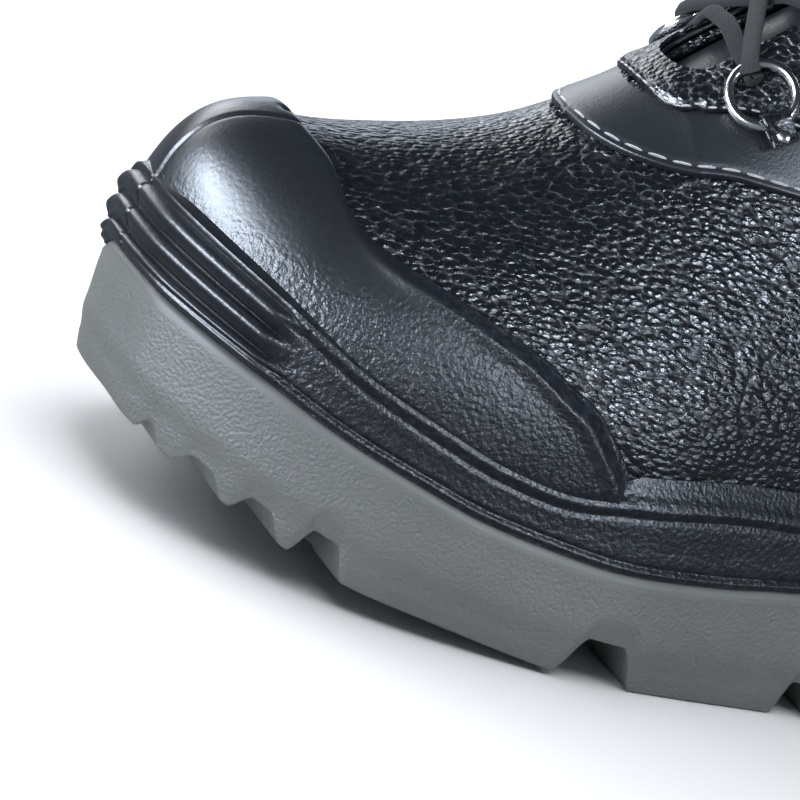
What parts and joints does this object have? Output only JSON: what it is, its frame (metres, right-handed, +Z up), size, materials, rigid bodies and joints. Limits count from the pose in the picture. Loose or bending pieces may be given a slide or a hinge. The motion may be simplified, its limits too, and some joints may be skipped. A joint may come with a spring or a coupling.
{
  "type": "safety boot",
  "caption": "Ankle-high lace-up safety boot with a pebbled leather upper, ring lacing, a moulded black toe scuff cap and a grey lugged outsole.",
  "frame": {"origin": "on the floor under the middle of the heel, in the flat tread between the heel lugs", "axes": "+X towards the toe, +Y to the outer side of the foot, +Z up"},
  "size_m": [0.3012, 0.1134, 0.197],
  "materials": {
    "outsole": "matte, fine leather-like stipple",
    "midsole": "satin, lightly speckled",
    "leather": "pebbled, satin to glossy",
    "panel": "smooth, satin",
    "collar": "soft padded, satin",
    "lining": "brushed textile",
    "nickel": "polished nickel",
    "lace": "braided"
  },
  "bodies": {
    "root": {"outsole": "outsole", "midsole": "midsole", "insole": "lining", "upper": "leather", "ankle_panel": "panel", "facing": "leather", "collar": "collar", "tongue": "collar", "ring_lateral_1": "nickel", "ring_lateral_2": "nickel", "ring_lateral_3": "nickel", "ring_lateral_4": "nickel", "ring_medial_1": "nickel", "ring_medial_2": "nickel", "ring_medial_3": "nickel", "ring_medial_4": "nickel", "tab_lateral_1": "leather", "tab_lateral_2": "leather", "tab_lateral_3": "leather", "tab_lateral_4": "leather", "tab_medial_1": "leather", "tab_medial_2": "leather", "tab_medial_3": "leather", "tab_medial_4": "leather", "lace_crossings": "lace"}
  },
  "joints": []
}
